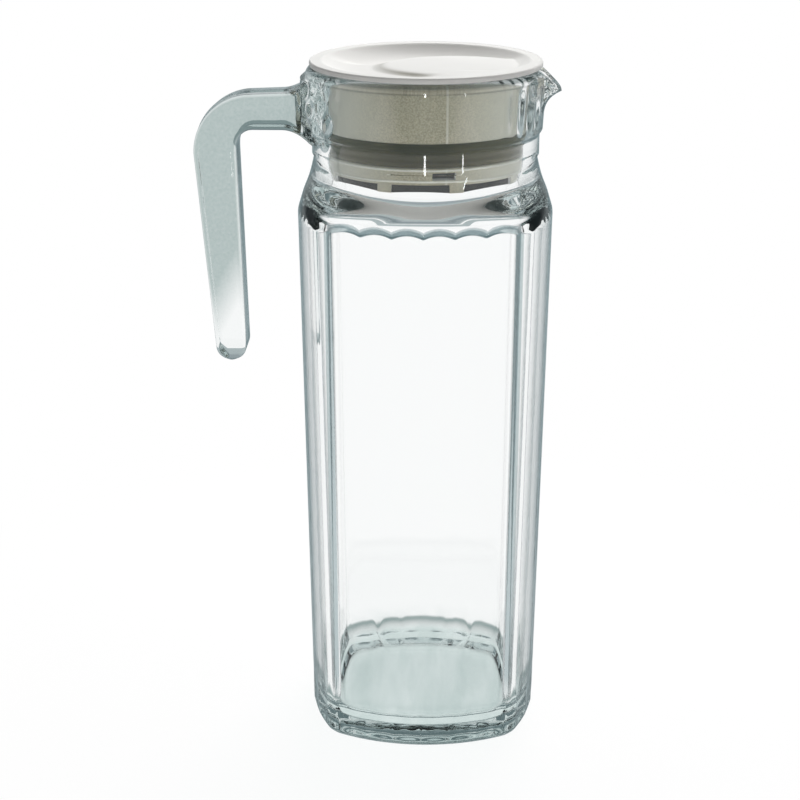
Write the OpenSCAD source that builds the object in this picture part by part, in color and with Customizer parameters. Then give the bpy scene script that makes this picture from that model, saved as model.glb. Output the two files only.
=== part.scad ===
// Glass pitcher: soft square body, round neck with a pouring lip, hanging handle and a plug lid.
// Lengths are in mm. +Z is up, +X points to the pouring lip, and the origin is under the middle of the base.

/* [Body] */
// Height of the bowed sides, from the base to the start of the shoulder
body_h = 193; // [160:1:230]
// Width across two opposite sides at the foot
foot_w = 83.2; // [78:0.2:87]
// Width across two opposite sides where the shoulder starts
shoulder_w = 88.4; // [87:0.2:92]
// Radius that each side is bowed to, seen from above
face_r = 70; // [62:1:78]
// Width across two opposite corners at the foot, where a rounded band takes off the corner's edge
corner_foot_d = 92; // [89:0.2:93]
// Width across two opposite corners where the shoulder starts
corner_d = 96.8; // [95:0.2:98]
// Thickness of the side walls
side_wall = 3.2; // [2:0.1:4.5]
// Thickness of the glass floor
floor_t = 6; // [4:0.5:16]
// Rounding where the sides meet the base
heel_r = 3; // [2:0.2:6]
// Rounding inside, where the sides meet the floor
inner_heel_r = 9; // [2:0.5:12]
// Rounding at the top of the sides, where they lean into the shoulder
knee_r = 18; // [12:1:24]

/* [Neck] */
// Height of the shoulder, from the sides up to the waist of the neck
shoulder_h = 20; // [19:1:26]
// Radius of the hollow curve from the waist down to the shoulder
flare_r = 25.5; // [24:0.5:30]
// Diameter at the waist, the narrowest place
waist_d = 78.8; // [76:0.2:80]
// Height above the waist where the collar starts
collar_z = 7.5; // [5:0.5:12]
// Diameter of the collar where it starts
collar_foot_d = 80.8; // [80:0.2:82]
// Diameter of the collar just under the rim
collar_d = 82.8; // [82:0.2:86]
// Height of the neck, from the waist to the rim
neck_h = 30; // [28:1:40]
// Rounding of the rim's outer edge
rim_r = 3; // [1.5:0.25:4]
// Diameter of the bore that takes the lid
bore_d = 68; // [64:0.5:69]
// How far the bore's lower end lies below the waist
throat_drop = 3; // [1:0.25:5]
// Radius of the curve that opens the bore out into the body
throat_r = 20; // [18:0.5:24]

/* [Pouring lip] */
// How far the lip reaches past the collar
lip_reach = 5.2; // [3:0.2:8]
// Width of the lip at its tip's height
lip_w = 21; // [16:0.5:26]
// How far the tip lies below the rim
lip_drop = 5.6; // [3:0.2:8]
// Height of the flare under the tip
lip_h = 10.4; // [9:0.2:14]
// Thickness of the glass round the channel
lip_wall = 3; // [2:0.1:4]

/* [Handle] */
// Distance from the jug's axis to the grip's outer side
handle_reach = 80.2; // [74:0.2:92]
// How far the arm's top lies below the rim, where the bend starts
handle_drop = 9.4; // [7:0.2:11]
// How much higher the arm's top is at the collar
arm_rise = 0.9; // [0:0.1:3]
// Height from the arm's top to the free end
handle_len = 96; // [75:1:125]
// Thickness across the handle
handle_t = 16; // [12:0.5:20]
// Height of the arm
arm_h = 12.2; // [9:0.2:14]
// Width of the grip at its top
grip_w = 14.8; // [11:0.2:17]
// Width of the grip at its free end
grip_end_w = 10.8; // [8:0.2:14]
// Outer radius of the bend
bend_r = 20.5; // [18:0.5:26]
// How far the grip's outer side leans in at its free end
grip_lean = 5.4; // [0:0.2:9]

/* [Lid] */
// Diameter of the flange that rests on the rim
flange_d = 80; // [76:0.2:84]
// Thickness of the flange
flange_t = 2; // [1.4:0.1:4]
// Small bevel on the lid's edges
edge_t = 0.6; // [0.3:0.1:1]
// Depth of the plug below the rim
plug_h = 37.5; // [33:0.5:44]
// Gap between the plug and the bore, all round
plug_gap = 0.5; // [0.3:0.05:0.9]
// Thickness of the plug's skirt
plug_wall = 2.8; // [2.2:0.1:4]
// Width of the flat ring round the dished top
ring_w = 5.5; // [4:0.25:8]
// Depth of the dish below the ring
dish_h = 6; // [4:0.25:9]
// Thickness of the dish's floor
dish_t = 2.4; // [1.6:0.1:4]
// Length of the oval thumb pad, along X
pad_l = 52; // [42:0.5:56]
// Width of the thumb pad
pad_w = 40; // [30:0.5:41]
// How far the thumb pad lies below the ring
pad_drop = 1.5; // [0.5:0.1:3]
// Width of the window that lets the drink out to the lip
window_w = 22; // [14:0.5:30]
// Height of the skirt left between the soft ring and the window
sill_h = 2; // [1:0.1:4]
// Number of notches in the plug's lower edge
notches = 9; // [4:1:10]
// Width of a notch
notch_w = 18.5; // [8:0.5:19]
// Height of a notch
notch_h = 3.2; // [1.5:0.1:5]
// Number of small slots above the notches
slots = 4; // [2:1:6]
// Width of a slot
slot_w = 7.5; // [5:0.5:10]

/* [Seal] */
// Height of the groove that holds the soft ring
seal_h = 8.4; // [6:0.2:10]
// How far the groove's top lies below the rim
seal_drop = 20; // [18:0.25:23]
// Depth of the groove
groove_t = 1.2; // [0.8:0.1:1.6]
// Number of sealing fins
fins = 3; // [2:1:4]
// Gap between the fins and the bore, and between the ring and its groove
seal_gap = 0.2; // [0.1:0.02:0.24]

/* [Hidden] */
$fn = 96;

// Levels above the base
waist_z = body_h + shoulder_h;
rim_z = waist_z + neck_h;
lid_z = rim_z + flange_t;
tip_z = rim_z - lip_drop;
throat_z = waist_z - throat_drop;
plug_z = rim_z - plug_h;
groove_z = rim_z - seal_drop;
groove_foot_z = groove_z - seal_h;
ceiling_z = lid_z - dish_h - dish_t;

// Radii and distances from the jug's axis
collar_r = collar_d / 2;
waist_r = waist_d / 2;
bore_r = bore_d / 2;
flange_r = flange_d / 2;
plug_r = bore_r - plug_gap;
skirt_r = plug_r - plug_wall;
groove_r = plug_r - groove_t;
ring_r = flange_r - ring_w;
tip_x = collar_r + lip_reach;

// How far each bowed side's own axis lies past the jug's axis
bow = face_r - shoulder_w / 2;
// Overlap that carries a cut past the face it opens
cut = 1;
// How far the sides, leaning in over the shoulder, flatten the round waist
waist_flat = 0.85;
// Turn of the flare under the waist
flare_turn = 47;
// Half the height of the straight band at the waist
waist_band = 1.5;
// Turn of the first notch, half a step, which keeps the notches alike on both sides of the pouring window
notch_turn = 180 / notches;
// Height of a slot, as a share of the skirt between the groove and the notches
slot_share = 0.5;
// Chords in each rounded run of a turned outline
arc_steps = 5;

// Rings and sides of the handle's skin, and how square its section is
handle_sides = 20;
bend_steps = 10;
end_steps = 4;
squareness = 0.45;
// Thickness left at the tip of the handle's rounded end, as a share of the whole
end_share = 0.7;
end_turn = 80;

// Points on an arc in a turned outline, from angle a to angle b
function arc(r, z, radius, a, b) =
    [for (i = [0:arc_steps]) let (t = a + (b - a) * i / arc_steps) [r + radius * cos(t), z + radius * sin(t)]];

// Half the width across the sides at a height
function half_w(z) = foot_w / 2 + (shoulder_w - foot_w) / 2 * z / body_h;

// A turned outline moved out to the axis of a bowed side
function bowed(points) = [for (p = points) p + [bow, 0]];

// Points of the knee that turns a side from one half width towards another over the shoulder
function knee(from, to) =
    let (step = abs(from - to), way = from < to ? -1 : 1)
    let (turn = atan2(shoulder_h, knee_r - step) - acos(knee_r / norm([shoulder_h, knee_r - step])))
    [for (i = [0:arc_steps])
        let (t = turn * i / arc_steps) [from - way * knee_r * (1 - cos(t)), body_h + knee_r * sin(t)]];

// Outline of one bowed side about its own axis: heel, taper, then a rounded lean to the waist
module side_outline() {
    side_waist = waist_r - waist_flat;
    polygon(concat(
        [[0, 0]],
        bowed(arc(foot_w / 2 - heel_r, heel_r, heel_r, -90, 0)),
        bowed(knee(half_w(body_h), side_waist)),
        bowed([[side_waist, waist_z], [collar_r + cut, waist_z + cut], [collar_r + cut, rim_z + cut]]),
        [[0, rim_z + cut]]
    ));
}

// Outline of the shoulder, neck and rim about the jug's axis
module neck_outline() {
    flare = arc(waist_r + flare_r, waist_z, flare_r, 180 + flare_turn, 180);
    polygon(concat(
        [[0, 0], [corner_foot_d / 2, 0], [corner_d / 2, body_h]],
        flare,
        [[waist_r, waist_z + waist_band], [collar_foot_d / 2, waist_z + collar_z]],
        arc(collar_r - rim_r, rim_z - rim_r, rim_r, 0, 90),
        [[0, rim_z]]
    ));
}

// Outline of the inside of one bowed side about its own axis
module inner_side_outline() {
    foot = half_w(floor_t) - side_wall;
    shoulder = half_w(body_h) - side_wall;
    throat = max(shoulder, bore_r + cut);
    polygon(concat(
        [[0, floor_t]],
        bowed(arc(foot - inner_heel_r, floor_t + inner_heel_r, inner_heel_r, -90, 0)),
        bowed([[shoulder, body_h], [throat, plug_z - cut], [throat, rim_z + cut]]),
        [[0, rim_z + cut]]
    ));
}

// Outline of the inner corners, the throat that draws them in and the bore, about the jug's axis
module bore_outline() {
    corner = corner_d / 2 - side_wall;
    throat_turn = acos((bore_r + throat_r - corner) / throat_r);
    polygon(concat(
        [[0, 0], [corner_foot_d / 2 - side_wall, 0]],
        arc(bore_r + throat_r, throat_z, throat_r, 180 + throat_turn, 180),
        [[bore_r, rim_z + cut], [0, rim_z + cut]]
    ));
}

// The soft square column that four turned sides enclose
module four_sides() {
    intersection_for (a = [0:90:270])
        rotate([0, 0, a]) translate([-bow, 0, 0]) rotate_extrude() children();
}

// A cone that flares to the lip's tip, made thinner by a wall
module lip_cone(wall) {
    axis_x = tip_x - lip_w / 2;
    tip_r = lip_w / 2 - wall;
    foot_r = max(cut, collar_r - axis_x - cut - wall);
    cone_h = lip_h + lip_drop + cut;
    cone_r = foot_r + (tip_r - foot_r) * cone_h / lip_h;
    translate([axis_x, 0, tip_z - lip_h]) cylinder(h = cone_h, r1 = foot_r, r2 = cone_r);
}

// A slab across the lip with the outline of its side view
module lip_slab(outline) {
    rotate([90, 0, 0]) linear_extrude(2 * lip_w, center = true) polygon(outline);
}

// The lip's outside, with a top that falls from the rim to the tip
module lip() {
    x = bore_r - cut;
    intersection() {
        lip_cone(0);
        lip_slab([[x, 0], [tip_x, 0], [tip_x, tip_z], [collar_r - rim_r, rim_z], [x, rim_z]]);
    }
}

// The channel in the lip, open at its top and towards the bore
module lip_channel() {
    x = bore_r - cut;
    top = rim_z + cut;
    intersection() {
        lip_cone(lip_wall);
        lip_slab([[x, 0], [tip_x, 0], [tip_x, top], [x, top]]);
    }
}

// Section of the handle: a rectangle with soft corners, as shares of its half sizes
function soft(v) = sign(v) * pow(abs(v), squareness);
section = [for (k = [0:handle_sides - 1])
    let (a = 360 * (k + 0.5) / handle_sides) [soft(cos(a)), soft(sin(a))]];

// One ring of the handle between an outer and an inner point, with a share of the full thickness
function ring(outer, inner, share) = [for (q = section)
    let (m = (outer + inner) / 2 + (outer - inner) / 2 * q[0]) [m[0], q[1] * share * handle_t / 2, m[1]]];

// Rings of the handle: the root inside the collar, the bend, then the grip's rounded end
arm_z = rim_z - handle_drop;
root_x = -(collar_r + bore_r) / 2;
bend_mid = [bend_r - handle_reach, arm_z - bend_r];
end_r = grip_end_w / 2;
end_mid = [grip_lean - handle_reach + end_r, arm_z - handle_len + end_r];
root_ring = ring([root_x, arm_z + arm_rise], [root_x, arm_z - arm_h], 1);
bend_rings = [for (i = [0:bend_steps])
    let (a = 90 * i / bend_steps, w = arm_h + (grip_w - arm_h) * i / bend_steps, d = [-sin(a), cos(a)])
    ring(bend_mid + bend_r * d, bend_mid + (bend_r - w) * d, 1)];
end_rings = [for (i = [0:end_steps])
    let (a = end_turn * i / end_steps, half = [end_r * cos(a), 0], mid = end_mid - [0, end_r * sin(a)])
    ring(mid - half, mid + half, end_share + (1 - end_share) * cos(a))];
handle_rings = concat([root_ring], bend_rings, end_rings);

module handle_form() {
    n = handle_sides;
    last = (len(handle_rings) - 1) * n;
    points = [for (r = handle_rings) for (p = r) p];
    skin = [for (i = [0:n:last - n]) for (k = [0:n - 1])
        let (a = i + k, b = i + (k + 1) % n) each [[a, a + n, b + n], [a, b + n, b]]];
    root_cap = [for (k = [1:n - 2]) [0, k, k + 1]];
    end_cap = [for (k = [1:n - 2]) [last, last + k + 1, last + k]];
    polyhedron(points = points, faces = concat(skin, root_cap, end_cap));
}

// Outline of the neck alone, which the handle's root is cut to
module collar_outline() {
    intersection() {
        neck_outline();
        translate([0, waist_z]) square([collar_r + cut, neck_h + cut]);
    }
}

// Sphere that dishes the lid's top
module dish() {
    dish_r = (pow(ring_r, 2) + pow(dish_h, 2)) / (2 * dish_h);
    translate([0, 0, lid_z - dish_h + dish_r]) sphere(dish_r);
}

// Oval thumb pad, what two round discs share, with its tip under the ring
module pad() {
    half_l = pad_l / 2;
    half_across = pad_w / 2;
    disc_r = (pow(half_l, 2) / half_across + half_across) / 2;
    pad_z = lid_z - pad_drop;
    intersection_for (side = [-1, 1])
        translate([ring_r + cut - half_l, side * (disc_r - half_across), plug_z])
            cylinder(h = pad_z - plug_z, r = disc_r);
}

// Outline of the flange and the hollow plug before the dish is cut, with the groove for the soft ring
module cap_outline() {
    polygon([
        [0, ceiling_z], [skirt_r, ceiling_z], [skirt_r, plug_z], [plug_r - edge_t, plug_z],
        [plug_r, plug_z + edge_t], [plug_r, groove_foot_z], [groove_r, groove_foot_z],
        [groove_r, groove_z], [plug_r, groove_z], [plug_r, rim_z], [flange_r, rim_z],
        [flange_r, lid_z - edge_t], [flange_r - edge_t, lid_z], [0, lid_z]
    ]);
}

// Outline of the soft ring: a band in the groove with blunt fins that reach for the bore
module seal_outline() {
    top_z = groove_z - seal_gap;
    base_z = groove_foot_z + seal_gap;
    back_r = groove_r + seal_gap;
    band_r = plug_r - seal_gap;
    fin_r = bore_r - seal_gap;
    pitch = (top_z - base_z) / fins;
    fin_points = [for (i = [0:fins - 1]) let (z = base_z + pitch * i) each [
        [band_r, z + pitch * 0.1], [fin_r, z + pitch * 0.4], [fin_r, z + pitch * 0.6], [band_r, z + pitch * 0.9]]];
    polygon(concat([[back_r, top_z], [back_r, base_z], [band_r, base_z]], fin_points, [[band_r, top_z]]));
}

module jug_body() {
    color([0.72, 0.82, 0.82, 0.4])
    difference() {
        union() {
            intersection() {
                four_sides() side_outline();
                rotate_extrude() neck_outline();
            }
            lip();
        }
        intersection() {
            four_sides() inner_side_outline();
            rotate_extrude() bore_outline();
        }
        lip_channel();
    }
}

module jug_handle() {
    color([0.62, 0.74, 0.74, 0.6])
    difference() {
        handle_form();
        rotate_extrude() collar_outline();
    }
}

module lid_cap() {
    window_z = groove_z + sill_h;
    notch_top = plug_z + notch_h;
    slot_h = slot_share * (groove_foot_z - notch_top);
    slot_z = (groove_foot_z + notch_top - slot_h) / 2;
    color([0.9, 0.89, 0.86])
    difference() {
        rotate_extrude() cap_outline();
        difference() {
            dish();
            pad();
        }
        translate([0, -window_w / 2, window_z]) cube([bore_r, window_w, ceiling_z - window_z]);
        for (i = [0:notches - 1])
            rotate([0, 0, notch_turn + 360 * i / notches])
                translate([0, -notch_w / 2, plug_z - cut]) cube([bore_r, notch_w, notch_h + cut]);
        for (i = [0:slots - 1])
            rotate([0, 0, 360 * i / slots])
                translate([0, -slot_w / 2, slot_z]) cube([bore_r, slot_w, slot_h]);
    }
}

module lid_seal() {
    color([0.45, 0.44, 0.4])
    rotate_extrude() seal_outline();
}

jug_body();
jug_handle();
lid_cap();
lid_seal();
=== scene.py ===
"""Looks of a glass pitcher: clear pressed glass, a dished plastic lid and its soft ring, on a pale floor."""
import math

import bmesh
import bpy
import numpy as np
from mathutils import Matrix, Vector


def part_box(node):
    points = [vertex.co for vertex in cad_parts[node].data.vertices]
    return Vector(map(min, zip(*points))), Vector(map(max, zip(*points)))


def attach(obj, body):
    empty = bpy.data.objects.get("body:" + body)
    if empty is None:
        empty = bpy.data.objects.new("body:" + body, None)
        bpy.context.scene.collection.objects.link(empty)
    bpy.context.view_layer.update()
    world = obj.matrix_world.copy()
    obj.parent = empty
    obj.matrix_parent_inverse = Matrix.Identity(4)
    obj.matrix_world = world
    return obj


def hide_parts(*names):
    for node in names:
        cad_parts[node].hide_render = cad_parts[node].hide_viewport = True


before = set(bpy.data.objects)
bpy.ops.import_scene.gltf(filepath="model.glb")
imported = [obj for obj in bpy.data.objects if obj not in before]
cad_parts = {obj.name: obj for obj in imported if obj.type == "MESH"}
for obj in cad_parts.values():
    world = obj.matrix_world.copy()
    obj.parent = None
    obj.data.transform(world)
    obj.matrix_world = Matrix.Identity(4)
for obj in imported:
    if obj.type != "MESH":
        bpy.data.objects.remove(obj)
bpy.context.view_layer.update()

MM = 0.001

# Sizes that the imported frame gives
jug_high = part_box("jug_body")[1]
handle_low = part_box("jug_handle")[0]
cap_low, cap_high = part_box("lid_cap")
seal_low, seal_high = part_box("lid_seal")
RIM_Z = jug_high.z
TIP_X = jug_high.x
LID_Z = cap_high.z
FLANGE_R = cap_high.x
PLUG_Z = cap_low.z
HANDLE_X = handle_low.x
HANDLE_FOOT = handle_low.z
SEAL_FOOT = seal_low.z
SEAL_TOP = seal_high.z

# Body of the jug
BODY_H = 193 * MM
FOOT_HALF = 42.2 * MM
SHOULDER_HALF = 44.8 * MM
BOW = 25.8 * MM
CORNER_FOOT_R = 46.7 * MM
CORNER_R = 48.9 * MM
CORNER_SOFT = 0.35 * MM
CORNER_WAIST_SOFT = 0.8 * MM
KNEE_SOFT = 0.4 * MM
WALL = 3.2 * MM
INNER_CORNER_SOFT = 1.2 * MM
FLOOR_T = 5.6 * MM
HEEL_R = 3 * MM
INNER_HEEL_R = 9.6 * MM
BASE_HOLLOW = 0.6 * MM
BASE_HOLLOW_FADE = (0.75, 0.97)

# Notches in the heel inside: place from the middle of the side, depth and width
HEEL_NOTCHES = ((22 * MM, 6 * MM, 2.1 * MM), (11 * MM, 1.8 * MM, 1.4 * MM))

# Sunk panels with shallow flutes on the four sides, and the heights over which they set in or fade
FLUTES = 6
PANEL_FOOT_HALF = 30.9 * MM
PANEL_HALF = 31.6 * MM
PANEL_DEPTH = 0.8 * MM
FAINT_PANEL_DEPTH = 0.1 * MM
PANEL_STEP_W = 1.6 * MM
PANEL_TOP = 193.6 * MM
PANEL_TOP_STEP_H = 2 * MM
PANEL_RISE = (8 * MM, 24 * MM)
SCALLOP_H = 1.4 * MM
FLUTE_DEPTH = 0.04 * MM
FLUTE_FOOT_DEPTH = 0.5 * MM
FLUTE_RISE = (1 * MM, 4 * MM)
FLUTE_FADE = (8 * MM, 20 * MM)

# Neck and rim
WAIST_Z = 213 * MM
WAIST_R = 39.4 * MM
SIDE_WAIST = 38.55 * MM
FLARE_R = 25.5 * MM
FLARE_REACH = 0.9
NECK_SOFT = 0.7 * MM
COLLAR_STEP_Z = 221.5 * MM
COLLAR_STEP_BELOW = 1.4 * MM
COLLAR_STEP_ABOVE = 0.6 * MM
COLLAR_FOOT_R = 40.4 * MM
COLLAR_R = 41.4 * MM
RIM_R = 3 * MM
RIM_INNER_R = 1 * MM
BORE_R = 34 * MM
THROAT_TOP = 204.6 * MM
THROAT_FOOT = 195.4 * MM

# Pouring lip
LIP_FOOT_Z = 227 * MM
LIP_DROP = 5.6 * MM
LIP_DROP_BASE = 0.8
LIP_DROP_SHARE = 0.2
LIP_WALL = 3 * MM
LIP_HALF = 12.5 * MM
CHANNEL_HALF = 8.5 * MM
LIP_SIDE_CURVE = 1.5
LIP_OUT_CURVE = 2
LIP_DROP_CURVE = 1.5

# Glass heaped at the handle's root, and ripples there and beside the lip
GATHER_H = 2 * MM
GATHER_W = 17 * MM
GATHER_RISE = (215 * MM, 223 * MM)
RIPPLE_H = 0.8 * MM
WIDE_RIPPLE = 1.9 * MM
WIDE_RIPPLE_UP = 2.4 * MM
FINE_RIPPLE = 1.3 * MM
FINE_RIPPLE_UP = 2.1 * MM
LIP_RIPPLE_H = 0.6 * MM
LIP_RIPPLE = 1 * MM
LIP_RIPPLE_PLACE = 24 * MM
LIP_RIPPLE_W = 9 * MM
LIP_RIPPLE_RISE = (222 * MM, 228 * MM)
RIPPLE_FADE = (RIM_Z - 6 * MM, RIM_Z - 2 * MM)

# Handle
ARM_TOP = 233.6 * MM
ARM_RISE = 0.9 * MM
ARM_H = 12.2 * MM
HANDLE_T = 16 * MM
GRIP_W = 14.8 * MM
GRIP_END_W = 10.8 * MM
GRIP_LEAN = 5.4 * MM
BEND_R = 20.5 * MM
END_TURN = 84
END_T_BASE = 0.7
END_T_SHARE = 0.3
ROOT_X = -37 * MM
ROOT_FLARE = 2.6 * MM
ROOT_FLARE_LEN = 8 * MM
ROOT_FLARE_MOST = 1.3
HANDLE_EDGE_R = 1.8 * MM
EDGE_TO_WIDTH = 0.9
EDGE_TO_THICKNESS = 0.45
SEAM_H = 0.35 * MM
SEAM_HALF = 1.3 * MM

# Top of the lid, with its dish and thumb pad
FLANGE_EDGE_R = 0.8 * MM
DISH_FROM_R = 0.5 * MM
DISH_TO_R = 30 * MM
RING_R = 36 * MM
RECESS_H = 4.6 * MM
NEAR_RECESS_H = 3.1 * MM
NEAR_RISE = (-15 * MM, -5 * MM)
SHALLOW_X = (-5 * MM, 14 * MM)
SHALLOW_Y = (4 * MM, 16 * MM)
RECESS_WALL = 13 * MM
RECESS_CURVE = 2.2
RECESS_SOFT = 0.5 * MM
PAD_X = 10 * MM
PAD_HALF_L = 26 * MM
PAD_HALF_W = 20 * MM
PAD_DROP = 1.5 * MM
PAD_CROWN = 0.5 * MM
PAD_SOFT = 2 * MM
PAD_END_SOFT = 3 * MM

# Plug of the lid, its window, notches, slots and ribs
REST_GAP = 0.1 * MM
PLUG_R = 33.5 * MM
PLUG_ROOT_R = 0.5 * MM
FLANGE_MARGIN = 2 * MM
SKIRT_R = 30.7 * MM
SKIRT_EDGE_R = 0.6 * MM
GROOVE_R = 32.3 * MM
GROOVE_TOP = 223 * MM
GROOVE_FOOT = 214.6 * MM
GROOVE_EDGE_R = 0.3 * MM
CEILING_Z = 236.6 * MM
CEILING_EDGE_R = 1.5 * MM
CUT_R = BORE_R + 2 * MM
WINDOW_X = 20 * MM
WINDOW_W = 22 * MM
WINDOW_FOOT = 225 * MM
WINDOW_GAP = 0.01 * MM
POCKET_R = 31.4 * MM
NOTCHES = 9
NOTCH_TURN = -92
NOTCH_W = 18.5 * MM
NOTCH_H = 3.1 * MM
NOTCH_BELOW = 2 * MM
SLOTS = 4
SLOT_TURN = -79
SLOT_W = 7.5 * MM
SLOT_FOOT = 210.2 * MM
SLOT_H = 2.9 * MM
RIB_LEVELS = (213.9 * MM, 209.7 * MM)
RIB_H = 0.25 * MM
RIB_HALF = 0.35 * MM
RIB_CLEAR = 1 * MM
HOLLOW_CLEAR = 1.5 * MM
CEILING_CLEAR = 2 * MM
MOULD_SEAM_X = 7.1 * MM

# Soft ring
FINS = 3
SEAL_GAP = 0.2 * MM

# Where rings lie: shares of the base, the floor and the rim's flat, and radii on the lid's ceiling
BASE_RINGS = (0.1, 0.3, 0.5, 0.65, 0.75, 0.8, 0.84, 0.88, 0.92, 0.96)
FLOOR_RINGS = (0.9, 0.75, 0.6, 0.4, 0.2, 0.05)
RIM_RINGS = (0.33, 0.67)
CEILING_RINGS = (24 * MM, 16 * MM, 8 * MM, 2 * MM)

# Heights that the rings go through outside and inside, each with a count of levels from the one before it
OUTER_STOPS = ((26 * MM, 18), (180 * MM, 16), (190 * MM, 8), (199 * MM, 40), (WAIST_Z, 16), (223 * MM, 30),
               (RIM_Z - RIM_R, 24))
INNER_STOPS = ((226 * MM, 24), (THROAT_TOP, 10), (THROAT_FOOT, 40), (FLOOR_T + INNER_HEEL_R, 30))

# Counts of points along the curves and stretches of the outlines
HEEL_STEPS = 10
RIM_STEPS = 9
RIM_INNER_STEPS = 6
ARM_STEPS = 26
BEND_STEPS = 31
GRIP_STEPS = 26
END_STEPS = 13
HANDLE_EDGE_STEPS = 9
DISH_STEPS = 74
FLANGE_STEPS = 28
FLANGE_EDGE_STEPS = 6
SMALL_EDGE_STEPS = 4
PLUG_SIDE_STEPS = 12
RIB_STEPS = 60
CEILING_EDGE_STEPS = 6
SEAL_STEPS = 49
CAP_STEPS = 360

# Edges sharper than these angles, in degrees, stay sharp
JUG_SHARP = 50
LID_SHARP = 38

# Angles round the jug, in degrees, closer together at the edges of the four panels
EDGE_FROM = 39.5
EDGE_TO = 43.3
CORNER_STEPS = 4
EDGE_STEPS = 36
SIDE_STEPS = 96
QUARTER = np.concatenate([
    np.linspace(-45, -EDGE_TO, CORNER_STEPS, endpoint=False),
    np.linspace(-EDGE_TO, -EDGE_FROM, EDGE_STEPS, endpoint=False),
    np.linspace(-EDGE_FROM, EDGE_FROM, SIDE_STEPS, endpoint=False),
    np.linspace(EDGE_FROM, EDGE_TO, EDGE_STEPS, endpoint=False),
    np.linspace(EDGE_TO, 45, CORNER_STEPS, endpoint=False),
])
JUG_TURNS = np.radians(np.concatenate([QUARTER + 90 * k for k in range(4)]))
FACE_TURNS = np.radians(np.tile(QUARTER, 4))
CAP_TURNS = np.linspace(0, 2 * math.pi, CAP_STEPS, endpoint=False)

# The sides in order: lip, back, handle, front. The back's heel is notched, and the front's panel is crisp
HEEL_NOTCHED = np.repeat([0, 1, 0, 0], len(QUARTER))
PANEL_DEPTHS = np.repeat([FAINT_PANEL_DEPTH, FAINT_PANEL_DEPTH, FAINT_PANEL_DEPTH, PANEL_DEPTH], len(QUARTER))

# Glass
GLASS_IOR = 1.52
GLASS_CLEAR = (0.997, 1, 0.999)
GLASS_SHADOW = (0.93, 0.96, 0.955, 1)
GLASS_DEPTH = (0.5, 0.62, 0.61, 1)
GLASS_DENSITY = 6
WAVE_SCALE = 55
WAVE_STRENGTH = 0.12
WAVE_H = 0.4 * MM
HAZE_SCALE = 400
HAZE_RISE = (0.45, 0.75)
HAZE_MOST = 0.012

# Painted shade: grey on the edges of the front panel, standing in for the dark lines that refraction draws
# there
PANEL_PAINTED_SHADE = (0.27, 0.35, 0.365)
PANEL_GREY_FADE = (0.45 * PANEL_STEP_W, 0.6 * PANEL_STEP_W)
PANEL_GREY_RISE = (10 * MM, 26 * MM)
PANEL_GREY_END = (PANEL_TOP, PANEL_TOP + 1 * MM)
PANEL_TOP_GREY_FADE = (0.35 * PANEL_TOP_STEP_H, 0.55 * PANEL_TOP_STEP_H)
FRONT_Y = -25 * MM
FRONT_FACING = -0.3

# Painted shade on the flat sides of the handle, down to a slanting edge
HANDLE_SHADE_GREY = (0.45, 0.53, 0.52)
HANDLE_SHADE_FACING = (0.6, 0.85)
HANDLE_SHADE_X = (-43 * MM, -41 * MM)
HANDLE_SHADE_SLOPE = 1.85
HANDLE_SHADE_RISE = (281 * MM, 303 * MM)
HANDLE_SHADE_CLOUD_SCALE = 900
HANDLE_SHADE_CLOUD_RANGE = (0.3, 0.7)
HANDLE_SHADE_LEAST = 0.85

# Painted shade on the rim with a line under it, in streaks low in the base, and where the glass is seen
# edge-on
RIM_PAINTED_SHADE = (0.06, 0.09, 0.09)
RIM_RISE = (RIM_Z - 2.2 * MM, RIM_Z - 1.2 * MM)
RIM_MOST = 0.9
RIM_LINE_FADE = (0.15 * MM, 0.45 * MM)
RIM_LINE_MOST = 0.5
BASE_SHADE_GREY = (0.62, 0.70, 0.685)
BASE_SHADE_FADE = (7 * MM, 18 * MM)
BASE_SHADE_STRETCH = (1, 0.2, 1)
BASE_SHADE_SCALE = 110
BASE_SHADE_RISE = (0.36, 0.66)
BASE_SHADE_MOST = 0.6
EDGE_GREY = (0.05, 0.085, 0.095)
EDGE_BLEND = 0.5
EDGE_RISE = (0.62, 0.86)
EDGE_MOST = 0.97

# Plastic of the lid: its top, and the plug's skirt painted as shade, with painted light on its sides, painted
# highlights on its seam and ribs, and painted shade under the flange and in its pockets
TOP_CREAM = (0.84, 0.825, 0.80)
TOP_PALE = (0.90, 0.885, 0.86)
TOP_CLOUD_SCALE = 60
# The skirt is the top's plastic painted darker and olive as shade, with a random mottle
SKIRT_DARK = (0.34, 0.30, 0.21)
SKIRT_LIGHT = (0.51, 0.46, 0.325)
SKIRT_SCALE = 1900
SKIRT_RANGE = (0.35, 0.65)
ASIDE_RISE = (7 * MM, 24 * MM)
# Painted light, paler towards the sides of the skirt
SKIRT_SIDE_LIGHT = (0.88, 0.85, 0.75)
SKIRT_SIDE_LIGHT_MOST = 0.75
# Painted highlight along the line of a mould seam on the skirt
MOULD_SEAM_HIGHLIGHT = (0.72, 0.70, 0.62)
SEAM_FADE = (0.2 * MM, 0.5 * MM)
MOULD_SEAM_HIGHLIGHT_MOST = 0.6
# Painted highlights on the ribs
RIB_HIGHLIGHT = (0.9, 0.88, 0.8)
RIB_FADE = (0.2 * MM, 0.45 * MM)
RIB_HIGHLIGHT_MOST = 0.9
UNDER_FLANGE = (0.08, 0.075, 0.06)
UNDER_FLANGE_RISE = (RIM_Z - 5 * MM, RIM_Z - 1 * MM)
UNDER_FLANGE_MOST = 0.6
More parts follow.
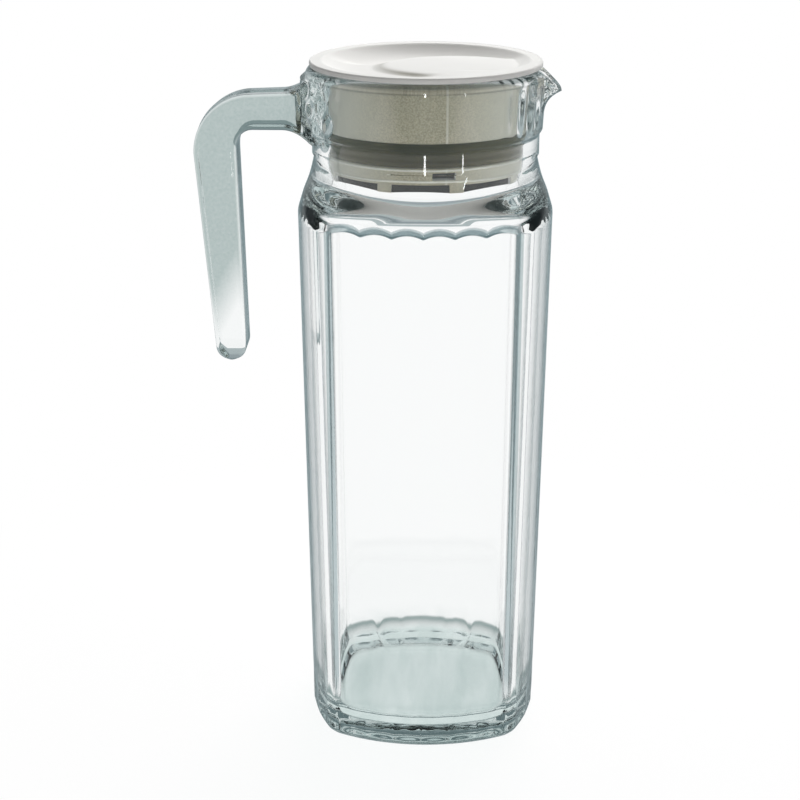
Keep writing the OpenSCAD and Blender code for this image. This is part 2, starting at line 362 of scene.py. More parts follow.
# Painted shade, near black, in the blind pockets
POCKET_SHADE = (0.012, 0.012, 0.01)
POCKET_FADE = (PLUG_R - 0.7 * MM, PLUG_R - 0.3 * MM)
POCKET_TOP_FADE = (GROOVE_FOOT - 0.5 * MM, GROOVE_FOOT)
SKIRT_OUTWARD = (0.1, 0.4)
SKIRT_BELOW = (RIM_Z - 0.5 * MM, RIM_Z)
PLASTIC_SPECULAR = 0.3
GRAIN_SCALE = 2600
GRAIN_RANGE = (0.3, 0.7)
GRAIN_ROUGHNESS = (0.32, 0.46)
GRAIN_STRENGTH = 0.12
GRAIN_H = 0.05 * MM

# Soft ring's rubber
RUBBER_DARK = (0.014, 0.0125, 0.004)
RUBBER_LIGHT = (0.095, 0.084, 0.034)
# Painted light, paler towards the sides of the ring
RUBBER_SIDE_LIGHT = (0.22, 0.20, 0.13)
RUBBER_SIDE_LIGHT_MOST = 0.7
RUBBER_SPECULAR = 0.2
STREAK_STRETCH = (1, 1, 40)
STREAK_SCALE = 60
STREAK_RANGE = (0.3, 0.7)
STREAK_ROUGHNESS = (0.3, 0.5)
STREAK_STRENGTH = 0.2
STREAK_H = 0.1 * MM

# Floor in metres, with what rays through the glass and from gloss see of it
WHITE = (1, 1, 1)
FLOOR_HALF = 1.45
FLOOR_DROP = 0.2 * MM
FLOOR_PALE = (0.95, 0.95, 0.95, 1)
FLOOR_WHITE_RISE = (0.05, 0.25)
FLOOR_WHITE_LEAST = 0.82
# Painted shadow round and under the jug's base, which only rays through the glass see
RING_RISE = (0.046, 0.055)
RING_FADE = (0.0575, 0.0615)
RING_PAINTED_SHADOW = (0.3, 0.37, 0.365)
UNDER_FADE = (0.045, 0.05)
UNDER_PAINTED_SHADOW = (0.75, 0.83, 0.82)
GLOSS_GREY = (0.29, 0.37, 0.39)

# Room that gloss and glass see: the grey at the level, and greys that take over as the way points higher
ROOM_LEVEL = (0.42, 0.48, 0.49)
ROOM_BANDS = (
    ((0.12, 0.25), (0.3, 0.35, 0.37)),
    ((0.32, 0.4), (0.14, 0.19, 0.2)),
    ((0.58, 0.7), (0.6, 0.68, 0.68)),
)
ROOM_LIGHT = 0.22
ROOM_SEEN = 1.0

# Lamps in metres and watts. A strip's glow is power for each square metre
OVERHEAD_POWER = 22.5
OVERHEAD_SIZE = (0.7, 0.7)
OVERHEAD_AT = (0.25, 0.9, 0.97)
OVERHEAD_AIM = (0, 0, 0.24)
STRIP_GLOW = 60
STRIP_H = 0.27
STRIP_Z = 0.163
STRIPS = (("strip_front", 0.026, 0.003, -0.79), ("strip_right", 0.018, 0.477, -0.63))

# Camera, worked out for a picture of 800 by 800 pixels
CAMERA_AT = (0.00784, -0.59947, 0.34153)
CAMERA_PITCH = 20.222
CAMERA_YAW = 1.598
CAMERA_LENS = 78.47
CAMERA_SENSOR = 36
CAMERA_CLIP = 0.01


def smooth_min(a, b, k):
    """The smaller of a and b, rounded over where they differ by less than k."""
    h = np.clip(0.5 + 0.5 * (b - a) / k, 0, 1)
    return b * (1 - h) + a * h - k * h * (1 - h)


def smooth_step(x, low, high):
    """0 below low, 1 above high, and a soft rise between them."""
    t = np.clip((x - low) / (high - low), 0, 1)
    return t * t * (3 - 2 * t)


def arc_points(centre, radius, start, end, count):
    """Points (r, z) on an arc of an outline, angles in degrees."""
    turns = np.radians(np.linspace(start, end, count))
    return [(centre[0] + radius * math.cos(t), centre[1] + radius * math.sin(t)) for t in turns]


def ring_at(turns, radius, height):
    """Points at the given angles about the jug's axis."""
    radius = np.broadcast_to(radius, turns.shape)
    height = np.broadcast_to(height, turns.shape)
    return np.stack([radius * np.cos(turns), radius * np.sin(turns), height], axis=1)


def levels(start, stops):
    """Heights of rings from the start through each stop, without the start itself."""
    heights = []
    for stop, count in stops:
        heights.append(np.linspace(start, stop, count)[1:])
        start = stop
    return np.concatenate(heights)


def grid_mesh(name, rings, low_pole, high_pole):
    """A closed mesh over a stack of rings, with a point at each end."""
    n = len(rings[0])
    points = np.concatenate([np.array([low_pole]), *rings, np.array([high_pole])])
    last = len(points) - 1
    here = np.arange(n)
    after = (here + 1) % n
    faces = [(0, 1 + b, 1 + a) for a, b in zip(here, after)]
    for i in range(len(rings) - 1):
        low = 1 + i * n
        high = low + n
        faces += [(low + a, low + b, high + b, high + a) for a, b in zip(here, after)]
    top = 1 + (len(rings) - 1) * n
    faces += [(last, top + a, top + b) for a, b in zip(here, after)]
    mesh = bpy.data.meshes.new(name)
    mesh.from_pydata(points.tolist(), [], faces)
    mesh.update()
    return mesh


def add_object(name, mesh):
    """Puts a mesh into the scene."""
    piece = bpy.data.objects.new(name, mesh)
    bpy.context.scene.collection.objects.link(piece)
    return piece


def boolean(piece, tools, operation):
    """Joins the tools to the piece or cuts them out of it, and deletes them."""
    for tool in tools:
        step = piece.modifiers.new(operation, "BOOLEAN")
        step.operation = operation
        step.solver = "EXACT"
        step.object = tool
    graph = bpy.context.evaluated_depsgraph_get()
    result = bpy.data.meshes.new_from_object(piece.evaluated_get(graph))
    piece.modifiers.clear()
    piece.data = result
    for tool in tools:
        bpy.data.objects.remove(tool)


def outward(piece):
    """Turns every face to look outward."""
    work = bmesh.new()
    work.from_mesh(piece.data)
    bmesh.ops.recalc_face_normals(work, faces=work.faces)
    work.to_mesh(piece.data)
    work.free()


def shade(piece, sharp_angle):
    """Smooth shading, with edges sharper than the angle, in degrees, kept sharp."""
    piece.data.polygons.foreach_set("use_smooth", [True] * len(piece.data.polygons))
    piece.data.set_sharp_from_angle(angle=math.radians(sharp_angle))


def side_radius(half):
    """Distance from the axis to the bowed sides, for half the width across them."""
    return np.sqrt((half + BOW) ** 2 - (BOW * np.sin(FACE_TURNS)) ** 2) - BOW * np.cos(FACE_TURNS)


def taper_half(z):
    """Half the width across the sides, which widens from the foot to the shoulder."""
    return FOOT_HALF + (SHOULDER_HALF - FOOT_HALF) * z / BODY_H


def lean_half(z):
    """Half the width across the shoulder, which leans in from the top of the sides to the waist."""
    return SHOULDER_HALF - (SHOULDER_HALF - SIDE_WAIST) * (z - BODY_H) / (WAIST_Z - BODY_H)


def corner_radius(z):
    """Distance from the axis to the rounded corners."""
    return CORNER_FOOT_R + (CORNER_R - CORNER_FOOT_R) * z / BODY_H


def neck_radius(z):
    """Radius of the rounded corners, the flare under the waist, the waist and the collar."""
    if z >= WAIST_Z:
        step = smooth_step(z, COLLAR_STEP_Z - COLLAR_STEP_BELOW, COLLAR_STEP_Z + COLLAR_STEP_ABOVE)
        rise = np.clip((z - COLLAR_STEP_Z) / (RIM_Z - RIM_R - COLLAR_STEP_Z), 0, 1)
        return WAIST_R + (COLLAR_FOOT_R - WAIST_R) * step + (COLLAR_R - COLLAR_FOOT_R) * rise
    drop = min(WAIST_Z - z, FLARE_R * FLARE_REACH)
    flare = WAIST_R + FLARE_R - math.sqrt(FLARE_R ** 2 - drop ** 2)
    return float(smooth_min(corner_radius(z), flare, NECK_SOFT))


def panel_relief(radius, z):
    """Depth of the sunk panels: a stepped edge, a scalloped top and faint flutes that deepen at the foot."""
    across = radius * np.sin(FACE_TURNS)
    panel_half = PANEL_FOOT_HALF + (PANEL_HALF - PANEL_FOOT_HALF) * z / BODY_H
    phase = np.mod(across * FLUTES / (2 * panel_half), 1)
    arch = 1 - (2 * phase - 1) ** 2
    step = np.clip((panel_half - np.abs(across)) / PANEL_STEP_W + 0.5, 0, 1)
    top = np.clip((PANEL_TOP + SCALLOP_H * arch - z) / PANEL_TOP_STEP_H + 0.5, 0, 1)
    flute = FLUTE_DEPTH + (FLUTE_FOOT_DEPTH - FLUTE_DEPTH) * (1 - smooth_step(z, *FLUTE_FADE))
    sunk = PANEL_DEPTHS * smooth_step(z, *PANEL_RISE) + flute * arch * smooth_step(z, *FLUTE_RISE)
    return sunk * step * top


def gather(z):
    """Glass heaped on the collar where the handle was set on it, with ripples there and beside the lip."""
    under_rim = 1 - smooth_step(z, *RIPPLE_FADE)
    along = (np.mod(JUG_TURNS, 2 * math.pi) - math.pi) * COLLAR_R
    heap = np.exp(-(along / GATHER_W) ** 2) * smooth_step(z, *GATHER_RISE)
    heap = heap * under_rim
    wide = np.sin(along / WIDE_RIPPLE + (z - RIM_Z) / WIDE_RIPPLE_UP)
    fine = np.sin(along / FINE_RIPPLE - z / FINE_RIPPLE_UP)
    ripple = wide + fine
    lip_side = np.abs(np.mod(JUG_TURNS + math.pi, 2 * math.pi) - math.pi) * COLLAR_R
    near_lip = np.exp(-((lip_side - LIP_RIPPLE_PLACE) / LIP_RIPPLE_W) ** 2) * smooth_step(z, *LIP_RIPPLE_RISE)
    near_lip = near_lip * under_rim
    return heap * (GATHER_H + RIPPLE_H * ripple) + near_lip * LIP_RIPPLE_H * np.sin(lip_side / LIP_RIPPLE)


def outer_radius(z, inset=0.0):
    """Distance from the axis to the outside of the jug at a height."""
    if z > WAIST_Z:
        return neck_radius(z) - inset + gather(z)
    side = side_radius(taper_half(z) - inset)
    side = side - panel_relief(side, z)
    side = smooth_min(side, side_radius(lean_half(z) - inset), KNEE_SOFT)
    soft = CORNER_SOFT + CORNER_WAIST_SOFT * smooth_step(z, BODY_H, WAIST_Z)
    return smooth_min(side, neck_radius(z) - inset, soft)


def inner_radius(z, inset=0.0):
    """Distance from the axis to the inside of the jug at a height."""
    side = side_radius(taper_half(min(z, BODY_H)) - WALL - inset)
    radius = smooth_min(side, corner_radius(z) - WALL - inset, INNER_CORNER_SOFT)
    return BORE_R + (radius - BORE_R) * (1 - smooth_step(z, THROAT_FOOT, THROAT_TOP))


def inner_heel():
    """Radius between the inside and the floor, smaller at the notches."""
    across = np.abs(FOOT_HALF * np.tan(FACE_TURNS))
    heel = np.full_like(across, INNER_HEEL_R)
    for place, depth, width in HEEL_NOTCHES:
        notch = np.exp(-((across - place) / width) ** 2)
        heel -= HEEL_NOTCHED * depth * notch
    return heel


def lip_bend(rings, inner):
    """Bends the rim out and down into the pouring lip, with more give on its inner side for the channel."""
    bent = []
    half = CHANNEL_HALF if inner else LIP_HALF
    out_reach = TIP_X - COLLAR_R
    in_reach = TIP_X - LIP_WALL - BORE_R
    for ring in rings:
        x, y, z = ring.T
        radius = np.hypot(x, y)
        turn = np.arctan2(y, x)
        near = np.where(x > 0, np.clip(1 - (y / half) ** 2, 0, 1) ** LIP_SIDE_CURVE, 0)
        up = np.clip((z - LIP_FOOT_Z) / (RIM_Z - RIM_R - LIP_FOOT_Z), 0, 1)
        share = np.clip((radius - BORE_R) / (COLLAR_R - RIM_R - BORE_R), 0, 1)
        reach = in_reach + (out_reach - in_reach) * share
        drop = LIP_DROP * (LIP_DROP_BASE + LIP_DROP_SHARE * share)
        radius = radius + reach * near * up ** LIP_OUT_CURVE
        height = z - drop * near * up ** LIP_DROP_CURVE
        bent.append(ring_at(turn, radius, height))
    return bent


def base_rings():
    """Rings of the underside, which is slightly hollow, and of the rounded heel."""
    foot = outer_radius(0.0, HEEL_R)
    rings = []
    for share in BASE_RINGS:
        hollow = BASE_HOLLOW * (1 - smooth_step(share, *BASE_HOLLOW_FADE))
        rings.append(ring_at(JUG_TURNS, foot * share, hollow))
    for turn in np.radians(np.linspace(0, 90, HEEL_STEPS)):
        inset = HEEL_R - HEEL_R * math.sin(turn)
        z = HEEL_R - HEEL_R * math.cos(turn)
        rings.append(ring_at(JUG_TURNS, outer_radius(z, inset), z))
    return rings


def rim_outline():
    """Points (r, z) over the rim, from the outside of the collar to the bore."""
    flat = COLLAR_R - RIM_R - BORE_R - RIM_INNER_R
    points = arc_points((COLLAR_R - RIM_R, RIM_Z - RIM_R), RIM_R, 0, 90, RIM_STEPS)[1:]
    points += [(COLLAR_R - RIM_R - share * flat, RIM_Z) for share in RIM_RINGS]
    inner_centre = (BORE_R + RIM_INNER_R, RIM_Z - RIM_INNER_R)
    points += arc_points(inner_centre, RIM_INNER_R, 90, 180, RIM_INNER_STEPS)
    return points


def inside_rings():
    """Rings down the bore, the throat and the inside to the heel and the floor."""
    heights = levels(RIM_Z - RIM_INNER_R, INNER_STOPS)
    rings = [ring_at(JUG_TURNS, inner_radius(z), z) for z in heights]
    heel_top = FLOOR_T + INNER_HEEL_R
    heel_r = inner_heel()
    for turn in np.radians(np.linspace(0, 90, HEEL_STEPS))[1:]:
        radius = inner_radius(heel_top, heel_r * (1 - math.cos(turn)))
        rings.append(ring_at(JUG_TURNS, radius, FLOOR_T + heel_r * (1 - math.sin(turn))))
    flat = inner_radius(heel_top, heel_r)
    rings += [ring_at(JUG_TURNS, flat * share, FLOOR_T) for share in FLOOR_RINGS]
    return rings


def jug_glass():
    """The whole jug as one skin: base, outside, rim, bore and inside."""
    outer = base_rings()
    outer += [ring_at(JUG_TURNS, outer_radius(z), z) for z in levels(HEEL_R, OUTER_STOPS)]
    outer += [ring_at(JUG_TURNS, r, z) for r, z in rim_outline()]
    rings = lip_bend(outer, False) + lip_bend(inside_rings(), True)
    mesh = grid_mesh("jug_glass", rings, (0, 0, BASE_HOLLOW), (0, 0, FLOOR_T))
    return add_object("jug_glass", mesh)


def handle_sections():
    """Outer point, inner point and thickness of each ring of the handle, from its root to its free end."""
    bend = np.array([HANDLE_X + BEND_R, ARM_TOP - BEND_R])
    sections = []
    for x in np.linspace(ROOT_X, bend[0], ARM_STEPS)[:-1]:
        along = (x - bend[0]) / (ROOT_X - bend[0])
        spread = np.clip((x + COLLAR_R + ROOT_FLARE_LEN) / ROOT_FLARE_LEN, 0, ROOT_FLARE_MOST)
        flare = ROOT_FLARE * spread ** 2
        top = ARM_TOP + ARM_RISE * along + flare
        foot = ARM_TOP - ARM_H - flare
        sections.append((np.array([x, top]), np.array([x, foot]), HANDLE_T + 2 * flare))
    for t in np.linspace(0, 1, BEND_STEPS):
        way = np.array([-math.sin(t * math.pi / 2), math.cos(t * math.pi / 2)])
        width = ARM_H + (GRIP_W - ARM_H) * smooth_step(t, 0, 1)
        sections.append((bend + BEND_R * way, bend + (BEND_R - width) * way, HANDLE_T))
    end_r = GRIP_END_W / 2
    end = np.array([HANDLE_X + GRIP_LEAN + end_r, HANDLE_FOOT + end_r])
    for t in np.linspace(0, 1, GRIP_STEPS)[1:]:
        level = bend[1] + (end[1] - bend[1]) * t
        outer_x = HANDLE_X + GRIP_LEAN * t
        width = GRIP_W + (GRIP_END_W - GRIP_W) * t
        sections.append((np.array([outer_x, level]), np.array([outer_x + width, level]), HANDLE_T))
    for turn in np.radians(np.linspace(0, END_TURN, END_STEPS)[1:]):
        half = np.array([end_r * math.cos(turn), 0])
        mid = end - np.array([0, end_r * math.sin(turn)])
        sections.append((mid - half, mid + half, HANDLE_T * (END_T_BASE + END_T_SHARE * math.cos(turn))))
    return sections


def soft_rectangle(half_w, half_t, edge_r):
    """Points of a rectangle with rounded corners and a low mould seam along its outer side, in order."""
    points = []
    for corner, (side_w, side_t) in enumerate(((1, 1), (-1, 1), (-1, -1), (1, -1))):
        middle = np.array([side_w * (half_w - edge_r), side_t * (half_t - edge_r)])
        for turn in np.radians(90 * corner + np.linspace(0, 90, HANDLE_EDGE_STEPS)):
            points.append(middle + edge_r * np.array([math.cos(turn), math.sin(turn)]))
    for rise, side in ((0, -SEAM_HALF), (SEAM_H, 0), (0, SEAM_HALF)):
        points.append(np.array([half_w + rise, side]))
    return np.array(points)


def handle_glass():
    """The handle as a swept soft rectangle, to be joined to the neck."""
    rings = []
    for outer, inner, across in handle_sections():
        middle = (outer + inner) / 2
        half = (outer - inner) / 2
        half_w = np.linalg.norm(half)
        edge_r = min(HANDLE_EDGE_R, EDGE_TO_WIDTH * half_w, EDGE_TO_THICKNESS * across)
        section = soft_rectangle(half_w, across / 2, edge_r)
        way = half / half_w
        x = middle[0] + way[0] * section[:, 0]
        z = middle[1] + way[1] * section[:, 0]
        rings.append(np.stack([x, section[:, 1], z], axis=1))
    low = rings[0].mean(axis=0)
    high = rings[-1].mean(axis=0)
    high[2] = HANDLE_FOOT
    mesh = grid_mesh("handle_glass", rings, low, high)
    return add_object("handle_glass", mesh)


def cap_height(radius):
    """Height of the lid's top: a flat ring, a recess with a soft wall and an oval thumb pad."""
    x = radius * np.cos(CAP_TURNS)
    y = radius * np.sin(CAP_TURNS)
    shallow = smooth_step(x, *SHALLOW_X) * smooth_step(-y, *SHALLOW_Y)
    near = smooth_step(-y, *NEAR_RISE)
    depth = RECESS_H - (RECESS_H - NEAR_RECESS_H) * near
    depth = depth - (depth - PAD_DROP) * shallow
    rise = np.clip((radius - RING_R + RECESS_WALL) / RECESS_WALL, 0, 1) ** RECESS_CURVE
    recess = smooth_min(LID_Z - depth * (1 - rise), np.full_like(depth, LID_Z), RECESS_SOFT)
    oval = np.hypot((x - PAD_X) / PAD_HALF_L, y / PAD_HALF_W)
    pad_top = LID_Z - PAD_DROP - PAD_CROWN * np.clip(oval, 0, 1) ** 2
    left = np.clip((PAD_X - x) / PAD_HALF_L, 0, 1) ** 2
    soft = PAD_SOFT + (PAD_END_SOFT - PAD_SOFT) * left
    on_pad = 1 - smooth_step((oval - 1) * PAD_HALF_W / soft, -1, 1)
    return np.maximum(recess, recess + (pad_top - recess) * on_pad)


def plug_outline(under):
    """Points (r, z) down the outside of the plug, from the flange's underside: groove, ribs and foot."""
    side = np.linspace(under - 2 * PLUG_ROOT_R, GROOVE_TOP + PLUG_ROOT_R, PLUG_SIDE_STEPS)
    edge = PLUG_R - GROOVE_EDGE_R
    root = (PLUG_R + PLUG_ROOT_R, under - PLUG_ROOT_R)
    foot = (PLUG_R - SKIRT_EDGE_R, PLUG_Z + SKIRT_EDGE_R)
    points = arc_points(root, PLUG_ROOT_R, 90, 180, SMALL_EDGE_STEPS)[1:]
    points += [(PLUG_R, z) for z in side]
    points += arc_points((edge, GROOVE_TOP + GROOVE_EDGE_R), GROOVE_EDGE_R, 0, -90, SMALL_EDGE_STEPS)
    points += [(GROOVE_R, GROOVE_TOP), (GROOVE_R, GROOVE_FOOT)]
    points += arc_points((edge, GROOVE_FOOT - GROOVE_EDGE_R), GROOVE_EDGE_R, 90, 0, SMALL_EDGE_STEPS)
    for z in np.linspace(GROOVE_FOOT - GROOVE_EDGE_R, PLUG_Z + RIB_CLEAR, RIB_STEPS):
        rib = max(math.exp(-((z - level) / RIB_HALF) ** 2) for level in RIB_LEVELS)
        points.append((PLUG_R + RIB_H * rib, z))
    points += arc_points(foot, SKIRT_EDGE_R, 0, -90, SMALL_EDGE_STEPS)
    return points


def hollow_outline():
    """Points (r, z) from the plug's foot up its inside to the middle of the ceiling."""
    side = np.linspace(PLUG_Z + HOLLOW_CLEAR, CEILING_Z - CEILING_CLEAR, PLUG_SIDE_STEPS)
    foot = (SKIRT_R + SKIRT_EDGE_R, PLUG_Z + SKIRT_EDGE_R)
    corner = (SKIRT_R - CEILING_EDGE_R, CEILING_Z - CEILING_EDGE_R)
    points = arc_points(foot, SKIRT_EDGE_R, -90, -180, SMALL_EDGE_STEPS)
    points += [(SKIRT_R, z) for z in side]
    points += arc_points(corner, CEILING_EDGE_R, 0, 90, CEILING_EDGE_STEPS)
    points += [(r, CEILING_Z) for r in CEILING_RINGS]
    return points


def lid_outline():
    """Points (r, z) from the flange's edge under it, down the outside of the plug and up its inside."""
    under = RIM_Z + REST_GAP
    upper = (FLANGE_R - FLANGE_EDGE_R, LID_Z - FLANGE_EDGE_R)
    lower_r = FLANGE_EDGE_R / 2
    lower = (FLANGE_R - lower_r, under + lower_r)
    points = arc_points(upper, FLANGE_EDGE_R, 90, 0, FLANGE_EDGE_STEPS)[1:]
    points += arc_points(lower, lower_r, 0, -90, SMALL_EDGE_STEPS)
    points += [(r, under) for r in (FLANGE_R - FLANGE_MARGIN, PLUG_R + FLANGE_MARGIN, PLUG_R + PLUG_ROOT_R)]
    return points + plug_outline(under) + hollow_outline()


def box_tool(low, high, turn):
    """A box to cut with, turned about the jug's axis."""
    corners = [(x, y, z) for x in (low[0], high[0]) for y in (low[1], high[1]) for z in (low[2], high[2])]
    c = math.cos(turn)
    s = math.sin(turn)
    points = [(x * c - y * s, x * s + y * c, z) for x, y, z in corners]
    faces = [(0, 1, 3, 2), (4, 6, 7, 5), (0, 4, 5, 1), (2, 3, 7, 6), (0, 2, 6, 4), (1, 5, 7, 3)]
    mesh = bpy.data.meshes.new("tool")
    mesh.from_pydata(points, [], faces)
    return add_object("tool", mesh)


def plug_cuts():
    """Boxes for the pour window, the notches in the plug's lower edge and the slots above them."""
    low = (WINDOW_X, -WINDOW_W / 2, WINDOW_FOOT)
    tools = [box_tool(low, (CUT_R, WINDOW_W / 2, CEILING_Z - WINDOW_GAP), 0)]
    for i in range(NOTCHES):
        turn = math.radians(NOTCH_TURN + 360 * i / NOTCHES)
        low = (POCKET_R, -NOTCH_W / 2, PLUG_Z - NOTCH_BELOW)
        tools.append(box_tool(low, (CUT_R, NOTCH_W / 2, PLUG_Z + NOTCH_H), turn))
    for i in range(SLOTS):
        turn = math.radians(SLOT_TURN + 360 * i / SLOTS)
        low = (POCKET_R, -SLOT_W / 2, SLOT_FOOT)
        tools.append(box_tool(low, (CUT_R, SLOT_W / 2, SLOT_FOOT + SLOT_H), turn))
    return tools


def lid_cap():
    """Flange with a dished top and an oval pad, over a hollow plug with a window and a notched edge."""
    dish = np.linspace(DISH_FROM_R, DISH_TO_R, DISH_STEPS)
    margin = np.linspace(DISH_TO_R, FLANGE_R - FLANGE_EDGE_R, FLANGE_STEPS)[1:]
    rings = [ring_at(CAP_TURNS, r, cap_height(r)) for r in np.concatenate([dish, margin])]
    rings += [ring_at(CAP_TURNS, r, z) for r, z in lid_outline()]
    mesh = grid_mesh("lid_moulding", rings, (0, 0, cap_height(0.0)[0]), (0, 0, CEILING_Z))
    piece = add_object("lid_moulding", mesh)
    outward(piece)
    boolean(piece, plug_cuts(), "DIFFERENCE")
    shade(piece, LID_SHARP)
    return piece


def seal_ring():
    """The soft ring: a band with rounded fins."""
    back = GROOVE_R + SEAL_GAP
    band = PLUG_R - SEAL_GAP
    fin = BORE_R - SEAL_GAP
    outline = [(back, SEAL_TOP), (back, SEAL_FOOT)]
    for z in np.linspace(SEAL_FOOT, SEAL_TOP, SEAL_STEPS):
        wave = math.sin(math.pi * FINS * (z - SEAL_FOOT) / (SEAL_TOP - SEAL_FOOT)) ** 2
        outline.append((band + (fin - band) * wave, z))
    points = [ring_at(CAP_TURNS, r, z) for r, z in outline]
    n = len(CAP_TURNS)
    count = len(points)
    faces = []
    for i in range(count):
        low = i * n
        high = ((i + 1) % count) * n
        faces += [(low + a, low + (a + 1) % n, high + (a + 1) % n, high + a) for a in range(n)]
    mesh = bpy.data.meshes.new("seal_ring")
    mesh.from_pydata(np.concatenate(points).tolist(), [], faces)
    piece = add_object("seal_ring", mesh)
    outward(piece)
    shade(piece, LID_SHARP)
    return piece


class Nodes:
    """Short calls that add and link the nodes of one tree."""

    def __init__(self, tree):
        self.tree = tree
        self.tree.nodes.clear()

    def add(self, kind, **values):
        node = self.tree.nodes.new("ShaderNode" + kind)
        for name, value in values.items():
            setattr(node, name, value)
        return node

    def link(self, source, target):
        self.tree.links.new(source, target)

    def split(self, vector):
        """The x, y and z of a vector."""
        node = self.add("SeparateXYZ")
        self.link(vector, node.inputs[0])
        return node.outputs

    def length(self, vector):
        node = self.add("VectorMath", operation="LENGTH")
        self.link(vector, node.inputs[0])
        return node.outputs["Value"]

    def stretch(self, vector, scale):
        node = self.add("Mapping")
        node.inputs["Scale"].default_value = scale
        self.link(vector, node.inputs["Vector"])
        return node.outputs[0]

    def noise(self, vector, scale, detail):
        node = self.add("TexNoise")
        node.inputs["Scale"].default_value = scale
        node.inputs["Detail"].default_value = detail
        self.link(vector, node.inputs["Vector"])
        return node.outputs["Fac"]

    def map_range(self, value, span, to_span):
        """The value, moved from one span of numbers to another and held at its ends."""
        node = self.add("MapRange")
        node.inputs["From Min"].default_value = span[0]
        node.inputs["From Max"].default_value = span[1]
        node.inputs["To Min"].default_value = to_span[0]
        node.inputs["To Max"].default_value = to_span[1]
        self.link(value, node.inputs["Value"])
        return node.outputs["Result"]

    def rise(self, value, span, most=1):
        """0 below the span, and up to the most above it."""
        return self.map_range(value, span, (0, most))

    def fall(self, value, span, most=1):
        """The most below the span, and down to 0 above it."""
        return self.map_range(value, span, (most, 0))

    def math(self, operation, a, b=0):
        node = self.add("Math", operation=operation)
        for socket, value in zip(node.inputs, (a, b)):
            if isinstance(value, (int, float)):
                socket.default_value = value
            else:
                self.link(value, socket)
        return node.outputs[0]

    def apart(self, a, b):
        """How far apart two numbers are."""
        return self.math("ABSOLUTE", self.math("SUBTRACT", a, b))

    def mix(self, share, a, b):
        """Colour a where the share is 0, and b where it is 1."""
        node = self.add("Mix", data_type="RGBA")
        self.link(share, node.inputs[0])
        for socket, value in ((node.inputs[6], a), (node.inputs[7], b)):
            if isinstance(value, tuple):
                socket.default_value = (*value, 1)
            else:
                self.link(value, socket)
        return node.outputs[2]

    def mix_shaders(self, share, a, b):
        node = self.add("MixShader")
        self.link(share, node.inputs[0])
        self.link(a.outputs[0], node.inputs[1])
        self.link(b.outputs[0], node.inputs[2])
        return node

    def bump(self, height, strength, distance):
        node = self.add("Bump")
        node.inputs["Strength"].default_value = strength
        node.inputs["Distance"].default_value = distance
        self.link(height, node.inputs["Height"])
        return node.outputs["Normal"]

    def finish(self, surface, kind="OutputMaterial"):
        """Links a shader to the tree's output."""
        node = self.add(kind)
        self.link(surface.outputs[0], node.inputs["Surface"])
        return node


def new_material(name):
    """An empty material and its nodes."""
    material = bpy.data.materials.new(name)
    material.use_nodes = True
    return material, Nodes(material.node_tree)


def panel_edge(nodes, axes, facing_y):
    """1 on the stepped edge of the front panel and on its scalloped top, where grey is painted as the shade
    of the dark lines that refraction draws there.
    """
    x, y, z = axes
    widening = nodes.math("MULTIPLY", z, (PANEL_HALF - PANEL_FOOT_HALF) / BODY_H)
    wide = nodes.math("ADD", widening, PANEL_FOOT_HALF)
    out = nodes.math("ABSOLUTE", x)
    side = nodes.fall(nodes.apart(out, wide), PANEL_GREY_FADE)
    side = nodes.math("MULTIPLY", side, nodes.rise(z, PANEL_GREY_RISE))
    side = nodes.math("MULTIPLY", side, nodes.fall(z, PANEL_GREY_END))
    share = nodes.math("DIVIDE", nodes.math("MULTIPLY", x, FLUTES / 2), wide)
    phase = nodes.math("SUBTRACT", nodes.math("MULTIPLY", nodes.math("FRACT", share), 2), 1)
    arch = nodes.math("SUBTRACT", 1, nodes.math("MULTIPLY", phase, phase))
    edge = nodes.math("ADD", nodes.math("MULTIPLY", arch, SCALLOP_H), PANEL_TOP)
    top = nodes.fall(nodes.apart(z, edge), PANEL_TOP_GREY_FADE)
    top = nodes.math("MULTIPLY", top, nodes.math("LESS_THAN", out, PANEL_HALF))
    both = nodes.math("MAXIMUM", side, top)
    at_front = nodes.math("LESS_THAN", y, FRONT_Y)
    faces_front = nodes.math("LESS_THAN", facing_y, FRONT_FACING)
    return nodes.math("MULTIPLY", both, nodes.math("MULTIPLY", at_front, faces_front))


def handle_painted_shade(nodes, place, axes, facing_y):
    """Up to 1 on the flat sides of the handle, down to a slanting edge, and slightly clouded: the share of
    painted shade there.
    """
    x = axes["X"]
    z = axes["Z"]
    flat = nodes.rise(nodes.math("ABSOLUTE", facing_y), HANDLE_SHADE_FACING)
    on_handle = nodes.fall(x, HANDLE_SHADE_X)
    slant = nodes.math("SUBTRACT", z, nodes.math("MULTIPLY", x, HANDLE_SHADE_SLOPE))
    painted_shade = nodes.math("MULTIPLY", nodes.math("MULTIPLY", flat, on_handle), nodes.rise(slant, HANDLE_SHADE_RISE))
    cloud = nodes.noise(place, HANDLE_SHADE_CLOUD_SCALE, detail=3)
    return nodes.math("MULTIPLY", painted_shade, nodes.map_range(cloud, HANDLE_SHADE_CLOUD_RANGE, (HANDLE_SHADE_LEAST, 1)))


def rim_painted_shade(nodes, z):
    """Share of painted shade on the rim under the lid's flange, and on a thin line where its rounding starts.
    """
    rim = nodes.rise(z, RIM_RISE, RIM_MOST)
    line = nodes.fall(nodes.apart(z, RIM_Z - RIM_R), RIM_LINE_FADE, RIM_LINE_MOST)
    return nodes.math("MAXIMUM", rim, line)


def base_painted_shade(nodes, place, z):
    """Share of painted shade, in streaks, low in the base."""
    streaks = nodes.noise(nodes.stretch(place, BASE_SHADE_STRETCH), BASE_SHADE_SCALE, detail=6)
    return nodes.math("MULTIPLY", nodes.fall(z, BASE_SHADE_FADE), nodes.rise(streaks, BASE_SHADE_RISE, BASE_SHADE_MOST))


